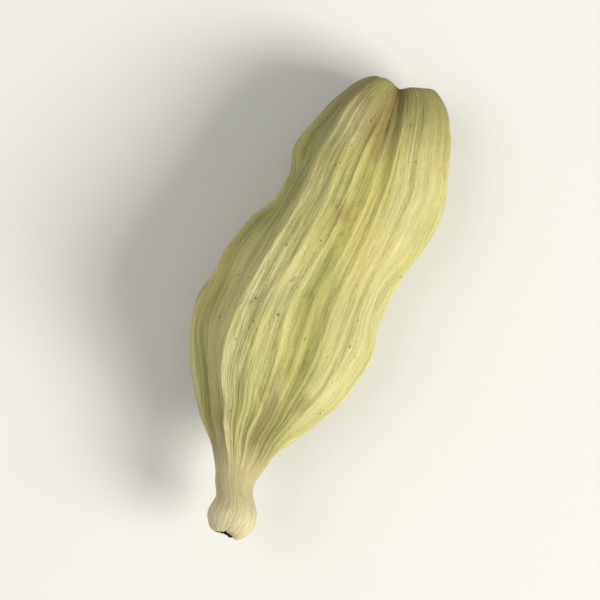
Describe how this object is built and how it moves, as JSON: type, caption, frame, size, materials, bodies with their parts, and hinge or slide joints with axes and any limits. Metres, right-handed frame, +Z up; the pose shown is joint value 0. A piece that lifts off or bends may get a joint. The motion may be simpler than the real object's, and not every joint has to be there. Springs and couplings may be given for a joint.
{
  "type": "green cardamom pod",
  "caption": "Closed green cardamom pod with a ribbed, rounded triangular husk, a pale hollow stub at the narrow end and a lobed blunt end, used whole or crushed as a spice.",
  "frame": {"origin": "centre of the bounding box at its base, on the surface that the pod rests on", "axes": "+X along the pod from the hollow stub to the blunt end, +Y towards its belly, +Z up"},
  "size_m": [0.015, 0.006, 0.0047],
  "materials": {
    "husk": "dry papery husk, matt with a faint sheen, yellow-green with pale ribs and a cream stub"
  },
  "bodies": {
    "root": {"cardamom_pod": "husk"}
  },
  "joints": []
}
